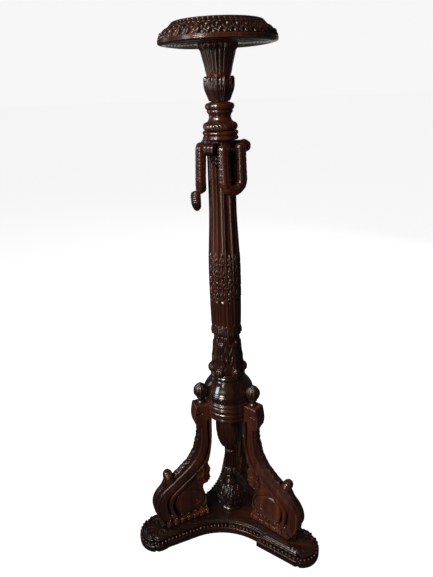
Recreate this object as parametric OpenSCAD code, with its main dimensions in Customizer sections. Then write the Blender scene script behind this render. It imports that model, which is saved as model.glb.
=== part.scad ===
// Carved mahogany torchere: a tall candle stand with a round top, a fluted
// column with swags, three scroll legs and a three-armed plinth.
// Millimetres, +Z up. The origin is on the column's axis at floor level.

/* [Plinth] */
// Height of the plinth
plinth_h = 44; // [38:1:46]
// Distance from the axis to the centre of each round lobe
lobe_dist = 273; // [268:1:285]
// Radius of each round lobe
lobe_r = 60; // [57:1:63]
// Half width of an arm
arm_half_w = 58; // [56:1:60]
// How far the step stands out from one side of each arm
step_out = 13; // [8:1:15]

/* [Legs] */
// Thickness of a leg
leg_t = 40; // [34:1:44]
// Radius of the bud on top of a leg
bud_r = 21; // [18:1:22]

/* [Column] */
// Largest radius of the fluted shaft
shaft_r = 44; // [42:1:46]
// Number of flutes round the shaft
flutes = 12; // [12:1:16]
// Turn of the column against the legs, in degrees
column_turn = -17; // [-25:1:0]

/* [Swags] */
// Radius of the thick swag cord
swag_r = 14; // [12:0.5:14.5]
// Half the distance between the two arms of a swag
swag_half_w = 25; // [24:1:28]

/* [Top] */
// Radius of the round top at its widest
top_r = 138; // [130:1:145]

/* [Hidden] */

wood = [0.27, 0.11, 0.06];
wood_dark = [0.20, 0.08, 0.05];
wood_inner = [0.45, 0.26, 0.14];
steel = [0.62, 0.62, 0.64];
$fn = 96;

// Glue gap round every peg and tenon
glue = 0.15;

// Directions of the three arms and legs, and of the three swags
arm_back = 90;
arm_left = 210;
arm_right = 330;
swag_turn = column_turn - 4;
scroll_turn = column_turn + 60;

// Heights along the axis, from the floor up
hub_low = 447;
hub_mid = 516;
hub_top = 602;
baluster_top = 728;
shaft_low = 757;
shaft_top = 1268;
collar_top = 1290;
neck_low = 1354;
cup_top = 1407;
underside = 1478;
frieze_low = 1486;
board_low = 1500;
rim_low = 1508;
top_z = 1520;
spindle_low = 180;
pendant_low = 290;

// Centre joints: radii of the tenons
top_tenon_r = 16;
neck_tenon_r = 12;
column_tenon_r = 14;
shaft_tenon_r = 18;
baluster_tenon_r = 20;
baluster_tenon_low = 480;
pendant_tenon_r = 14;
spindle_pin_r = 8;
urn_pin_r = 10;
urn_pin_depth = 26;

// Points of an arc about [cx, cz] from angle a0 to a1
function arc(cx, cz, r, a0, a1, n = 8) =
    [for (i = [0 : n]) [cx + r * cos(a0 + (a1 - a0) * i / n), cz + r * sin(a0 + (a1 - a0) * i / n)]];

// A turned solid from its outline, closed along the axis
module turned(outline) {
    rotate_extrude()
        polygon(concat([[0, outline[0][1]]], outline, [[0, outline[len(outline) - 1][1]]]));
}

// ---------- round top ----------

rim_r = top_r - 24;
rim_top_r = rim_r - 12;
board_r = rim_top_r - 4;
screw_circle = 75;

module top_board() {
    color(wood) difference() {
        translate([0, 0, board_low]) cylinder(r = board_r, h = top_z - 2 - board_low);
        for (a = [45 : 90 : 315])
            rotate(a) translate([screw_circle, 0, board_low - 1]) cylinder(r = 2, h = 12);
    }
}

module top_tooth_rim() {
    tooth_count = 60;
    gap_r = 2.2;
    rim_h = top_z - rim_low;
    lean = atan((rim_r - rim_top_r) / rim_h);
    color(wood_dark) difference() {
        translate([0, 0, rim_low]) cylinder(r1 = rim_r, r2 = rim_top_r, h = rim_h);
        for (i = [0 : tooth_count - 1])
            rotate(i * 360 / tooth_count) translate([rim_r + 0.8, 0, rim_low]) rotate([0, -lean, 0])
                translate([0, 0, -4]) cylinder(r = gap_r, h = rim_h + 1, $fn = 16);
        translate([0, 0, rim_low - 1]) cylinder(r = board_r + glue, h = rim_h + 2);
    }
}

module top_leaf_frieze() {
    color(wood) rotate_extrude() polygon([
        [board_r + glue, frieze_low], [top_r - 3, frieze_low], [top_r - 4, frieze_low + 5],
        [top_r - 10, frieze_low + 13], [rim_r + 1, rim_low - glue], [board_r + glue, rim_low - glue]]);
}

module top_reeded_base() {
    reed_r = 2.5;
    base_top = frieze_low - glue;
    color(wood) difference() {
        union() {
            rotate_extrude() polygon([
                [0, underside - 2], [48, underside - 2], [60, underside - 3], [top_r - 20, underside - 4],
                [top_r - 8, underside - 3], [top_r - reed_r, underside], [top_r - reed_r, base_top], [0, base_top]]);
            for (k = [0 : 1])
                rotate_extrude() translate([top_r - reed_r, underside + 1 + reed_r * (1 + k * 0.8)])
                    circle(r = reed_r, $fn = 24);
            translate([0, 0, base_top - 1]) cylinder(r = board_r - 1, h = board_low - glue - base_top + 1);
        }
        translate([0, 0, underside - 5]) cylinder(r = top_tenon_r + glue, h = 30);
        for (a = [45 : 90 : 315]) rotate(a) translate([screw_circle, 0, 0]) {
            translate([0, 0, underside - 5]) cylinder(r = 2.4, h = 40);
            translate([0, 0, underside - 5]) cylinder(r = 4.6, h = 6);
        }
    }
}

module top_screws() {
    color(steel) for (a = [45 : 90 : 315]) rotate(a) translate([screw_circle, 0, 0]) {
        translate([0, 0, underside - 2]) cylinder(r = 4.2, h = 3);
        translate([0, 0, underside]) cylinder(r = 1.9, h = 30);
    }
}

// ---------- neck ----------

module trumpet_neck() {
    flute_count = 20;
    color(wood) difference() {
        union() {
            turned([[21, neck_low], [22, 1375], [25, 1396], [28, 1408], [30, 1418], [32.5, 1431],
                [36, 1443], [38.5, 1455], [41.5, 1466], [45, underside - 2 - glue]]);
            translate([0, 0, underside - 4]) cylinder(r = top_tenon_r, h = 26);
        }
        for (i = [0 : flute_count - 1])
            rotate(i * 360 / flute_count) translate([31.5, 0, 1410]) rotate([0, 14, 0])
                cylinder(r = 2.6, h = 75, $fn = 20);
        translate([0, 0, neck_low - 1]) cylinder(r = neck_tenon_r + glue, h = 31);
    }
}

module leaf_cup() {
    leaf_count = 12;
    inner = [[22.6, 1375], [25.6, 1396], [28.6, cup_top]];
    color(wood) difference() {
        rotate_extrude() polygon(concat(
            [[21 + glue * 4, neck_low + 1], [24, neck_low + 1], [25.5, 1355], [27, 1361], [29.5, 1367],
             [32, 1374], [34.5, 1381], [36.4, 1392], [36, 1402], [33.5, cup_top]],
            [for (k = [2 : -1 : 0]) inner[k]]));
        for (i = [0 : leaf_count - 1])
            rotate((i + 0.5) * 360 / leaf_count) translate([37.5, 0, 1372]) cylinder(r = 2.2, h = 40, $fn = 16);
    }
}

module neck_turning() {
    color(wood) union() {
        turned(concat([[30, collar_top + glue], [39, collar_top + 2]],
            arc(35, 1299, 7, -60, 75, 8),
            [[34, 1308], [30, 1311]],
            arc(34.6, 1320, 8, -120, -240, 6),
            [[31, 1330], [32, 1332], [32, 1335]],
            arc(28.6, 1343, 7, -75, 75, 8),
            [[28, 1351], [26, neck_low - glue]]));
        translate([0, 0, neck_low - 2]) cylinder(r = neck_tenon_r, h = 31);
        translate([0, 0, collar_top - 50]) cylinder(r = column_tenon_r, h = 52);
    }
}

module collar() {
    color(wood) rotate_extrude() polygon([
        [column_tenon_r + glue, shaft_top + glue], [41, shaft_top + glue], [44, shaft_top + 2],
        [44.5, shaft_top + 5], [42.5, shaft_top + 8], [42.5, shaft_top + 14], [44.5, shaft_top + 17],
        [43.5, shaft_top + 20], [41, collar_top], [column_tenon_r + glue, collar_top]]);
}

// ---------- column ----------

module column_shaft() {
    widest_z = 890;
    neck_r = 35;
    foot_r = shaft_r - 1;
    flute_r = 7;
    top_lean = atan((shaft_r - neck_r) / (1140 - widest_z));
    color(wood) difference() {
        union() {
            turned([[foot_r - 1, shaft_low], [foot_r, 764], [shaft_r - 0.3, 800], [shaft_r, 850],
                [shaft_r, widest_z + 10], [shaft_r - 0.9, 941], [shaft_r - 2.4, 976], [40, 1010],
                [37.4, 1052], [35.8, 1090], [neck_r, 1140], [neck_r, shaft_top]]);
            translate([0, 0, shaft_low - 57]) cylinder(r = shaft_tenon_r, h = 58);
        }
        for (i = [0 : flutes - 1]) rotate(column_turn + (i + 0.5) * 360 / flutes) {
            translate([shaft_r + 4.5, 0, shaft_low + 14]) cylinder(r = flute_r, h = widest_z - shaft_low - 18, $fn = 24);
            translate([shaft_r + 4, 0, widest_z + 4]) rotate([0, -top_lean, 0])
                cylinder(r = flute_r, h = 245, $fn = 24);
        }
        translate([0, 0, shaft_top - 30]) cylinder(r = column_tenon_r + glue, h = 31);
        for (a = [arm_back, arm_left, arm_right]) rotate(a + swag_turn) swag_peg_holes();
        for (a = [arm_back, arm_left, arm_right]) rotate(a + scroll_turn) scroll_peg(glue);
    }
}

// ---------- swags ----------

swag_dist = 49;
swag_low = 1152;
swag_top = 1262;
swag_bend_z = swag_low + swag_half_w;
swag_lean = 3;
swag_peg_z = 1245;
swag_peg_r = 4;
swag_peg_x = 24;
swag_peg_y = 17;

// One U-shaped swag hanging in front of the +X side of the column
module swag(grow = 0) {
    r = swag_r + grow;
    translate([swag_dist, 0, swag_top]) rotate([0, -swag_lean, 0]) translate([0, 0, -swag_top]) {
        for (s = [-1, 1]) translate([0, s * swag_half_w, swag_bend_z])
            cylinder(r = r, h = swag_top - swag_bend_z, $fn = 48);
        translate([0, 0, swag_bend_z]) rotate([0, 90, 0]) rotate_extrude(angle = 180, start = -90)
            translate([swag_half_w, 0]) circle(r = r, $fn = 48);
    }
}

// Holes for the two pegs that hold a swag
module swag_peg_holes() {
    for (s = [-1, 1]) translate([swag_peg_x, s * swag_peg_y, swag_peg_z]) rotate([0, 90, 0])
        cylinder(r = swag_peg_r + glue, h = 28, $fn = 24);
}

module swag_at(a) {
    color(wood) rotate(a) difference() {
        swag();
        swag_peg_holes();
        cylinder(r = 36.2, h = 1300);
        translate([0, 0, shaft_top]) cylinder(r = 60, h = 40);
        husk_pin(glue);
    }
}

module swag_right() { swag_at(arm_right + swag_turn); }
module swag_back() { swag_at(arm_back + swag_turn); }
module swag_left() { swag_at(arm_left + swag_turn); }

module swag_pegs() {
    color(wood) for (a = [arm_back, arm_left, arm_right]) rotate(a + swag_turn)
        for (s = [-1, 1]) translate([swag_peg_x + 1, s * swag_peg_y, swag_peg_z]) rotate([0, 90, 0])
            cylinder(r = swag_peg_r, h = 26, $fn = 24);
}

// Pin between a swag and the husk that hangs from it
module husk_pin(gap) {
    pin_low = swag_low - swag_r - 12;
    translate([swag_dist + 10, 0, pin_low]) cylinder(r = 2 + gap, h = 30 + gap, $fn = 24);
}

module husk_drop() {
    husk_dist = 67;
    back_cut = 11;
    color(wood) rotate(arm_left + swag_turn) union() {
        difference() {
            translate([husk_dist, 0, 0]) turned([[2, 1091], [8, 1095], [12, 1104], [14.5, 1116], [15.5, 1128],
                [15, 1136], [12, 1142], [5, 1144]]);
            translate([0, -20, 1080]) cube([husk_dist - back_cut, 40, 80]);
            swag(glue);
        }
        husk_pin(0);
    }
}

// ---------- scrolls under the collar ----------

module scroll_peg(gap) {
    translate([26, 0, 1244]) rotate([0, 90, 0]) cylinder(r = 5 + gap, h = 24, $fn = 24);
}

module collar_scroll_at(a) {
    roll_r = 14.5;
    half_w = 13;
    color(wood) rotate(a) difference() {
        union() {
            translate([58, half_w, 1251]) rotate([90, 0, 0]) cylinder(r = roll_r, h = 2 * half_w, $fn = 48);
            translate([36, -half_w, 1236]) cube([20, 2 * half_w, 29]);
            translate([36, -9, 1214]) cube([10, 18, 30]);
            scroll_peg(0);
        }
        cylinder(r = 35.5, h = 1225);
        translate([0, 0, shaft_top]) cylinder(r = 90, h = 40);
    }
}

module collar_scroll_right() { collar_scroll_at(arm_right + scroll_turn); }
module collar_scroll_back() { collar_scroll_at(arm_back + scroll_turn); }
module collar_scroll_left() { collar_scroll_at(arm_left + scroll_turn); }

// ---------- lower column ----------

module shaft_leaf_ring() {
    color(wood_dark) rotate_extrude() polygon(concat(
        [[shaft_tenon_r + glue, baluster_top + glue], [37, baluster_top + glue]],
        arc(38.5, 736, 6, -60, 75, 6),
        [[42, 748], [42, shaft_low - glue], [shaft_tenon_r + glue, shaft_low - glue]]));
}

module acanthus_baluster() {
    curl_r = 12;
    curl_count = 6;
    curl_turn = column_turn + 25;
    color(wood) difference() {
        union() {
            turned(concat([[44, hub_top + glue], [46, 606]],
                arc(44, 617, 9, -60, 60, 6),
                [[43, 634], [43.5, 651], [41, 665], [39.5, 690], [37.5, 713], [37, baluster_top]]));
            for (i = [0 : curl_count - 1]) rotate(curl_turn + i * 360 / curl_count)
                translate([46.5, 0, 609]) sphere(r = curl_r, $fn = 48);
            translate([0, 0, baluster_tenon_low]) cylinder(r = baluster_tenon_r, h = hub_top - baluster_tenon_low + 1);
        }
        translate([0, 0, baluster_top - 30]) cylinder(r = shaft_tenon_r + glue, h = 31);
        difference() {
            translate([0, 0, hub_top - 20]) cylinder(r = 70, h = 20 + glue);
            translate([0, 0, hub_top - 25]) cylinder(r = baluster_tenon_r, h = 30);
        }
    }
}

module hub_bulb() {
    color(wood) difference() {
        turned(concat([[72, hub_mid + glue], [77, hub_mid + 2]],
            arc(47.5, 533, 29, -5, 68, 10),
            [[57.5, 562], [53, 577], [50, 582], [52, 586], [52.5, 592], [51, 596], [47, hub_top]]));
        translate([0, 0, hub_mid - 1]) cylinder(r = baluster_tenon_r + glue, h = 100);
    }
}

module hub_block() {
    ring_r = 79;
    groove_r = 73;
    color(wood) difference() {
        turned(concat([[66, hub_low], [72, hub_low]],
            arc(71, 454, 6, -60, 80, 6), [[groove_r, 462]],
            arc(73, 470, 6, -70, 70, 6), [[groove_r, 479]],
            arc(73, 488, 6, -70, 70, 6), [[groove_r, 497]],
            arc(73, 506, 6, -70, 70, 6), [[groove_r, hub_mid]]));
        translate([0, 0, baluster_tenon_low - 1]) cylinder(r = baluster_tenon_r + glue, h = 60);
        translate([0, 0, hub_low - 1]) cylinder(r = pendant_tenon_r + glue, h = 29);
        for (a = [arm_back, arm_left, arm_right]) rotate(a) {
            translate([leg_seat, -leg_t / 2 - glue, hub_low - 1]) cube([40, leg_t + 2 * glue, hub_mid - hub_low + 2]);
            leg_dowel_pair(glue);
        }
    }
}

module pendant_drop() {
    color(wood) difference() {
        union() {
            turned([[14, pendant_low], [20, 296], [27, 303], [33, 315], [37, 328], [40.5, 350],
                [42.5, 368], [42, 395], [40, 415], [42, 425], [44, 433], [41, 440], [41, hub_low - glue]]);
            translate([0, 0, hub_low - 2]) cylinder(r = pendant_tenon_r, h = 29);
        }
        translate([0, 0, pendant_low - 1]) cylinder(r = spindle_pin_r + glue, h = 26);
    }
}

module centre_spindle() {
    rib_count = 12;
    color(wood) difference() {
        union() {
            turned([[22, spindle_low + glue], [25, 186], [25.5, 195], [22, 205], [16, 212], [18.5, 220], [18, 245],
                [16, 270], [14.5, 277], [17, 282], [15.5, 287], [12, pendant_low - glue]]);
            translate([0, 0, spindle_low - 24]) cylinder(r = spindle_pin_r, h = pendant_low - spindle_low + 48);
        }
        for (i = [0 : rib_count - 1]) rotate(i * 360 / rib_count) translate([20.2, 0, 217]) rotate([0, -3, 0])
            cylinder(r = 2.8, h = 54, $fn = 20);
    }
}

module plinth_urn() {
    lobe_count = 8;
    color(wood) difference() {
        union() {
            turned([[44, plinth_h + glue], [46, 50], [42, 56], [45, 64], [51, 82], [53, 98], [52, 112], [46, 126],
                [38, 138], [31, 148], [32, 156], [28, 166], [22, spindle_low]]);
            translate([0, 0, plinth_h - urn_pin_depth]) cylinder(r = urn_pin_r, h = urn_pin_depth + 4);
        }
        for (i = [0 : lobe_count - 1]) rotate((i + 0.5) * 360 / lobe_count)
            translate([56, 0, 60]) cylinder(r = 6, h = 100, $fn = 24);
        translate([0, 0, spindle_low - 25]) cylinder(r = spindle_pin_r + glue, h = 30);
    }
}

// ---------- legs ----------

leg_seat = 66;
leg_head_out = 115;
leg_head_top = 503;
bud_x = 92;
dowel_r = 5;
dowel_zs = [462, 482];
screw_xs = [130, 225];
screw_r = 3;
screw_head_r = 6;

// Centre and radius of the outer sweep and of the lower scroll
sweep_x = 270;
sweep_z = 391;
sweep_r = 154;
scroll_x = 193;
scroll_z = 150;
scroll_r = 84;

// Pair of dowels between the hub and one leg
module leg_dowel_pair(gap) {
    for (z = dowel_zs) translate([40 - gap, 0, z]) rotate([0, 90, 0])
        cylinder(r = dowel_r + gap, h = 52 + 2 * gap, $fn = 32);
}

// Side view of a leg: X outwards, Y up
module leg_outline() {
    head = [[leg_seat, leg_head_top], [leg_head_out, leg_head_top], [119, 480], [122, 458],
        [120, 436], [112, 418], [110, 400], [113, 382]];
    outer_knob = [[201, 248], [236, 236]];
    foot = [[267, 90], [262, plinth_h + glue], [94, plinth_h + glue], [95, 100], [98, 125], [104, 145], [108, 165]];
    inner_edge = [[104, 185], [104, 238], [89, 262], [82, 282], [77, 303], [73, 326], [70, 350], [68, 375], [67, 404]];
    polygon(concat(head, arc(sweep_x, sweep_z, sweep_r, 191, 240, 8), outer_knob,
        arc(scroll_x, scroll_z, scroll_r, 52, -25, 10), foot, inner_edge, [[leg_seat, 440]]));
}

// Rolled ends of the lower scroll, one outside and two inside
module leg_rolls() {
    proud = 1;
    for (roll = [[219, 254, 15], [102, 238, 21], [103, 206, 22]])
        translate([roll[0], leg_t / 2 + proud, roll[1]]) rotate([90, 0, 0])
            cylinder(r = roll[2], h = leg_t + 2 * proud, $fn = 64);
}

// Sunk panel inside the lower scroll
module leg_panel() {
    panel_r = 44;
    difference() {
        union() {
            translate([155, 130]) circle(r = panel_r);
            translate([155 - panel_r, 62]) square([2 * panel_r, 68]);
        }
        translate([134, 118]) circle(r = 12);
    }
}

// Long groove that follows the upper sweep on each side of a leg
module leg_channel() {
    outer = [[81, 440], [83, 400], [88, 362], [98, 330], [114, 300], [136, 272], [160, 247], [186, 222], [204, 200]];
    width = 6;
    polygon(concat(outer, [for (i = [len(outer) - 1 : -1 : 0]) outer[i] - [width, width / 2]]));
}

module leg_at(a) {
    panel_depth = 6;
    channel_depth = 2.5;
    color(wood) rotate(a) difference() {
        union() {
            translate([0, leg_t / 2, 0]) rotate([90, 0, 0]) linear_extrude(leg_t) leg_outline();
            leg_rolls();
        }
        for (s = [-1, 1]) translate([0, s * leg_t / 2, 0]) rotate([90, 0, 0]) {
            linear_extrude(2 * panel_depth, center = true) leg_panel();
            linear_extrude(2 * channel_depth, center = true) leg_channel();
        }
        leg_dowel_pair(glue);
        leg_bud_pin(glue);
        leg_screw_holes(glue);
    }
}

module leg_back() { leg_at(arm_back); }
module leg_left() { leg_at(arm_left); }
module leg_right() { leg_at(arm_right); }

module leg_bud_pin(gap) {
    pin_depth = 12;
    translate([bud_x, 0, leg_head_top - pin_depth - gap]) cylinder(r = 4 + gap, h = pin_depth + 2 + gap, $fn = 24);
}

module leg_bud_at(a) {
    bud_z = 547;
    color(wood_dark) rotate(a) difference() {
        union() {
            translate([bud_x, 0, 0]) turned(concat(
                [[12, leg_head_top], [13, 507], [9, 512], [8.5, 518], [13, 523], [12, 527]],
                arc(0, bud_z, bud_r, -62, 60, 10), [[5, 571], [3, 575]]));
            leg_bud_pin(0);
        }
        for (i = [0 : 11]) translate([bud_x, 0, 0]) rotate(i * 30)
            translate([bud_r + 1.5, 0, bud_z - 18]) cylinder(r = 3, h = 36, $fn = 16);
    }
}

module leg_bud_back() { leg_bud_at(arm_back); }
module leg_bud_left() { leg_bud_at(arm_left); }
module leg_bud_right() { leg_bud_at(arm_right); }

module leg_dowels() {
    color(wood_inner) for (a = [arm_back, arm_left, arm_right]) rotate(a) leg_dowel_pair(0);
}

// Screws from below the plinth into each leg
module leg_screw_holes(gap) {
    for (x = screw_xs) translate([x, 0, 4]) cylinder(r = screw_r + gap, h = 80 + gap, $fn = 32);
}

module leg_screws() {
    color(steel) for (a = [arm_back, arm_left, arm_right]) rotate(a) {
        leg_screw_holes(0);
        for (x = screw_xs) translate([x, 0, 2]) cylinder(r = screw_head_r, h = 3, $fn = 32);
    }
}

// ---------- plinth ----------

ledge = 10;
ledge_z = plinth_h - 18;
notch_x = lobe_dist + 22;
notch_w = sqrt(pow(lobe_r, 2) - pow(notch_x - lobe_dist, 2));
bay_r = 215;
step_start = 150;
web_r = 150;
block_r = 52;
block_h = 26;

// Plan of one arm along +X, drawn in by e on every side
module arm_plan(e) {
    hw = arm_half_w - e;
    corner = arm_half_w / sin(60);
    bay_dist = corner + bay_r / sin(60);
    tangent_x = corner * cos(60) + bay_r / tan(60);
    difference() {
        union() {
            difference() {
                polygon([[0, 0], [web_r * cos(60), web_r * sin(60)], [tangent_x, web_r * sin(60)],
                    [tangent_x, -web_r * sin(60)], [web_r * cos(60), -web_r * sin(60)]]);
                for (s = [-1, 1]) rotate(s * 60) translate([bay_dist, 0]) circle(r = bay_r + e, $fn = 180);
            }
            polygon([[tangent_x - 40, hw], [tangent_x, hw], [notch_x, notch_w - e],
                [notch_x, e - notch_w], [tangent_x, -hw], [tangent_x - 40, -hw]]);
            polygon([[step_start + e, 0], [step_start + e, -hw - step_out],
                [notch_x - e, e - notch_w - 2], [notch_x - e, 0]]);
            translate([lobe_dist, 0]) circle(r = lobe_r - e);
        }
        // small V where the arm meets its lobe
        for (s = [-1, 1]) translate([notch_x, s * (notch_w + 1 - e)])
            rotate(45) square(8, center = true);
    }
}

module plinth_arm_at(a) {
    color(wood) rotate(a) difference() {
        union() {
            linear_extrude(ledge_z) arm_plan(0);
            translate([0, 0, ledge_z - 1]) linear_extrude(plinth_h - ledge_z + 1) arm_plan(ledge);
        }
        translate([0, 0, -1]) cylinder(r = block_r + glue, h = block_h + 1);
        cylinder(r = urn_pin_r + glue, h = plinth_h + 10);
        leg_screw_holes(glue);
        for (x = screw_xs) translate([x, 0, -1]) cylinder(r = screw_head_r + glue, h = 6, $fn = 32);
        // rosette groove on the lobe
        translate([lobe_dist, 0, plinth_h - 3]) difference() {
            cylinder(r = lobe_r - 18, h = 4);
            cylinder(r = lobe_r - 26, h = 4);
        }
    }
}

module plinth_arm_back() { plinth_arm_at(arm_back); }
module plinth_arm_left() { plinth_arm_at(arm_left); }
module plinth_arm_right() { plinth_arm_at(arm_right); }

module plinth_centre_block() {
    color(wood_inner) difference() {
        cylinder(r = block_r, h = block_h);
        translate([0, 0, plinth_h - urn_pin_depth - glue]) cylinder(r = urn_pin_r + glue, h = urn_pin_depth);
    }
}

// Bead strip on the ledge round one arm
module bead_strip_at(a) {
    strip_h = 10;
    color(wood_dark) rotate(a) intersection() {
        translate([0, 0, ledge_z + glue]) linear_extrude(strip_h) difference() {
            arm_plan(0.6);
            arm_plan(ledge - 0.6);
        }
        translate([0, 0, ledge_z]) linear_extrude(strip_h + 2)
            polygon([[0, 0], [400 * cos(59.9), 400 * sin(59.9)], [400, 0], [400 * cos(59.9), -400 * sin(59.9)]]);
    }
}

module bead_strip_back() { bead_strip_at(arm_back); }
module bead_strip_left() { bead_strip_at(arm_left); }
module bead_strip_right() { bead_strip_at(arm_right); }

top_board();
top_tooth_rim();
top_leaf_frieze();
top_reeded_base();
top_screws();
trumpet_neck();
leaf_cup();
neck_turning();
collar();
column_shaft();
swag_right();
swag_back();
swag_left();
swag_pegs();
husk_drop();
collar_scroll_right();
collar_scroll_back();
collar_scroll_left();
shaft_leaf_ring();
acanthus_baluster();
hub_bulb();
hub_block();
pendant_drop();
centre_spindle();
plinth_urn();
leg_back();
leg_left();
leg_right();
leg_bud_back();
leg_bud_left();
leg_bud_right();
leg_dowels();
leg_screws();
plinth_arm_back();
plinth_arm_left();
plinth_arm_right();
plinth_centre_block();
bead_strip_back();
bead_strip_left();
bead_strip_right();
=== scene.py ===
"""Carved mahogany candle stand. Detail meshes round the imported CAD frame.
Lengths in the code are millimetres in the CAD frame; mesh() turns them into metres."""
import math
import bpy
import numpy as np
from mathutils import Matrix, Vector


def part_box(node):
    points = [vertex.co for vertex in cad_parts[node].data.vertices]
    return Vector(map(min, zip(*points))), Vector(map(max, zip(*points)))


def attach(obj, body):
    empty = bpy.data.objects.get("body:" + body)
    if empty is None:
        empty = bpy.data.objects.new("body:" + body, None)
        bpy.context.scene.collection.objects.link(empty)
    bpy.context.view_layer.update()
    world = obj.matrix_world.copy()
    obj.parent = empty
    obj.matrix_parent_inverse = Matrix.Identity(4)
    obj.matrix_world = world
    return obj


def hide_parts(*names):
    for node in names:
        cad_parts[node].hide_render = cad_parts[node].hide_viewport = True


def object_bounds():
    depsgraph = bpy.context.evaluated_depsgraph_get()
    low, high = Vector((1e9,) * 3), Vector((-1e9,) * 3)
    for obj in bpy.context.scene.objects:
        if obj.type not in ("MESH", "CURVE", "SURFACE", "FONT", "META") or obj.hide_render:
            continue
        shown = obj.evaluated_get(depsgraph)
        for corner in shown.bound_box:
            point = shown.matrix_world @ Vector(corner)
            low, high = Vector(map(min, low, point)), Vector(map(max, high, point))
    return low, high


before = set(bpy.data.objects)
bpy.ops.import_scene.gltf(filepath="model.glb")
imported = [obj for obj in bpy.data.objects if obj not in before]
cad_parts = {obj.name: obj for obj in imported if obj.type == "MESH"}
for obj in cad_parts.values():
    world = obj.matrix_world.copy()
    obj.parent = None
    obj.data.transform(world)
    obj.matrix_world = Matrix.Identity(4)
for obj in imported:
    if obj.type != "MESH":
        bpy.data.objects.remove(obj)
cad_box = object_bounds()

ARMS = {"back": 90.0, "left": 210.0, "right": 330.0}
COLUMN_TURN = -17.0
SWAG_TURN = COLUMN_TURN - 4.0
FLUTES = 12
MM = 0.001
SIN60 = math.sin(math.radians(60))


# ---------------------------------------------------------------- helpers

def ease(a, b, x):
    t = np.clip((x - a) / (b - a), 0.0, 1.0)
    return t * t * (3 - 2 * t)


def hill(x, c, w):
    return np.exp(-((x - c) / w) ** 2)


def saw(x):
    """Signed distance from the nearest whole number, -0.5 to 0.5."""
    return x - np.round(x)


def turn(v, deg):
    a = math.radians(deg)
    c, s = math.cos(a), math.sin(a)
    out = v.copy()
    out[:, 0] = v[:, 0] * c - v[:, 1] * s
    out[:, 1] = v[:, 0] * s + v[:, 1] * c
    return out


def node_z(node):
    """Lowest and highest z of a CAD node, in mm."""
    lo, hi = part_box(node)
    return lo.z / MM, hi.z / MM


def mesh(name, verts, quads, tris, material, slot, nodes, smoothing=6, depth=1.6, stain=0.0):
    """One finished piece: mesh, cavity attribute, material, body and the CAD nodes it shows. slot is not
    used.
    """
    verts = np.asarray(verts, np.float64)
    quads = np.asarray(quads, np.int64).reshape(-1, 4)
    tris = np.asarray(tris, np.int64).reshape(-1, 3)
    me = bpy.data.meshes.new(name)
    me.vertices.add(len(verts))
    me.vertices.foreach_set("co", (verts * MM).astype(np.float32).ravel())
    loops = np.concatenate([quads.ravel(), tris.ravel()]).astype(np.int32)
    starts = np.concatenate([np.arange(len(quads)) * 4, len(quads) * 4 + np.arange(len(tris)) * 3])
    me.loops.add(len(loops))
    me.loops.foreach_set("vertex_index", loops)
    me.polygons.add(len(quads) + len(tris))
    me.polygons.foreach_set("loop_start", starts.astype(np.int32))
    me.update(calc_edges=True)
    me.validate()
    me.polygons.foreach_set("use_smooth", np.ones(len(me.polygons), bool))
    cavity(me, smoothing, depth, stain)
    me.materials.append(material)
    o = bpy.data.objects.new(name, me)
    bpy.context.scene.collection.objects.link(o)
    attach(o, "root")
    if nodes:
        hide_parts(*nodes)
    return o


def cavity(me, rounds, depth, stain):
    """Stores the cavity attribute: how far each point lies below (over 0.5) or above (under 0.5) the
    smoothed surface. depth is the mm that give the full range, and the extra painted shade is added to it.
    The material paints shade where the value is high and lightens rubbed edges as wear where it is low."""
    n = len(me.vertices)
    co = np.zeros(n * 3, np.float32)
    me.vertices.foreach_get("co", co)
    co = co.reshape(-1, 3).astype(np.float64)
    ed = np.zeros(len(me.edges) * 2, np.int32)
    me.edges.foreach_get("vertices", ed)
    a, b = ed.reshape(-1, 2).T
    count = np.maximum(np.bincount(a, minlength=n) + np.bincount(b, minlength=n), 1)[:, None]
    p = co.copy()
    for _ in range(rounds):
        around = np.stack([np.bincount(a, p[b, k], n) + np.bincount(b, p[a, k], n) for k in range(3)], 1)
        p = 0.5 * p + 0.5 * around / count
    nor = np.zeros(n * 3, np.float32)
    me.vertices.foreach_get("normal", nor)
    h = ((p - co) * nor.reshape(-1, 3)).sum(1) / MM
    att = me.attributes.new("hollow_and_shade", "FLOAT", "POINT")
    att.data.foreach_set("value", np.clip(0.5 + 0.5 * h / depth + stain, 0, 1).astype(np.float32))


def dense(profile, step):
    """The profile with points added, about one step apart."""
    out = [profile[0]]
    for p, q in zip(profile[:-1], profile[1:]):
        n = max(1, int(round(math.dist(p, q) / step)))
        out += [(p[0] + (q[0] - p[0]) * i / n, p[1] + (q[1] - p[1]) * i / n) for i in range(1, n + 1)]
    return np.array(out)


def soften(pts, rounds=1):
    """Rounds the corners of a line a little, keeping its ends."""
    p = pts.copy()
    for _ in range(rounds):
        p[1:-1] = 0.5 * p[1:-1] + 0.25 * (p[:-2] + p[2:])
    return p


def wall(rows, around, closed=False):
    """Quads between the rows of a round mesh; closed joins the last row to the first."""
    i, j = np.meshgrid(np.arange(rows if closed else rows - 1), np.arange(around), indexing="ij")
    k, m = (j + 1) % around, (i + 1) % rows
    return np.stack([i * around + j, i * around + k, m * around + k, m * around + j], -1).reshape(-1, 4)


def caps(rows, around):
    """Triangles from the first and last row to the two points that follow all rows."""
    j = np.arange(around)
    k = (j + 1) % around
    end = (rows - 1) * around
    first, last = rows * around, rows * around + 1
    return np.vstack([np.stack([k, j, np.full(around, first)], 1),
                      np.stack([end + j, end + k, np.full(around, last)], 1)])


def revolved(p, t, relief, around):
    """Radius and height of each point of the turned profile p with directions t, and its angle."""
    A, R = np.meshgrid(np.arange(around) * 2 * math.pi / around, p[:, 0])
    Z = np.repeat(p[:, 1:2], around, 1)
    d = relief(A, R, Z) if relief is not None else 0 * R
    return A, R + d * t[:, 1:2], Z - d * t[:, 0:1]


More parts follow.
